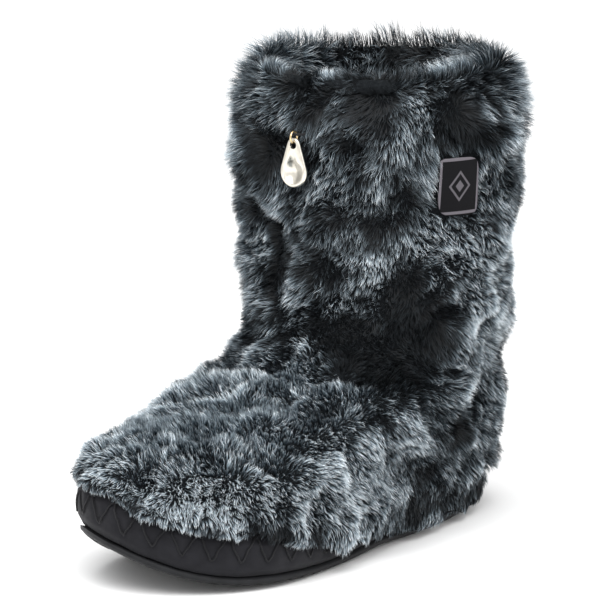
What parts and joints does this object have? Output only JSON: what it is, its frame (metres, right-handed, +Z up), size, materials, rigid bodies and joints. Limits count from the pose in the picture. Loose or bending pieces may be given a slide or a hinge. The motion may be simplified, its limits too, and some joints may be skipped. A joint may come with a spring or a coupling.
{
  "type": "fur bootie slipper",
  "caption": "Left bootie slipper: tall faux fur upper with rolled collar, soft stitched rand, thin rubber outsole, side label and a hanging metal charm.",
  "frame": {"origin": "on the floor under the heel's centre, at the flat of the outsole", "axes": "+X to the toe, +Y to the wearer's left, which is the outer side of this left boot, +Z up"},
  "size_m": [0.2956, 0.1472, 0.2274],
  "materials": {
    "outsole_rubber": "matt black rubber with fine cross grooves",
    "rand_suede": "soft charcoal suede-like fabric, puckered by the whip stitches",
    "insole_fleece": "dark grey fleece",
    "fur": "long-pile faux fur, near-black roots and frosted grey tips",
    "woven_label": "black woven patch with a grey border",
    "thread": "black sewing thread",
    "charm_metal": "polished pale metal, slightly warm"
  },
  "bodies": {
    "boot": {"outsole": "outsole_rubber", "rand": "rand_suede", "insole": "insole_fleece", "upper": "fur", "label": "woven_label", "charm_tab": "thread"},
    "charm": {"charm_ring": "charm_metal", "charm": "charm_metal"}
  },
  "joints": [
    {"name": "charm_swing", "type": "hinge", "parent": "boot", "child": "charm", "pos_m": [0.08429, -0.00124, 0.19447], "axis": [-0.0181, -0.9998, 0], "range_deg": [0, 110]}
  ]
}
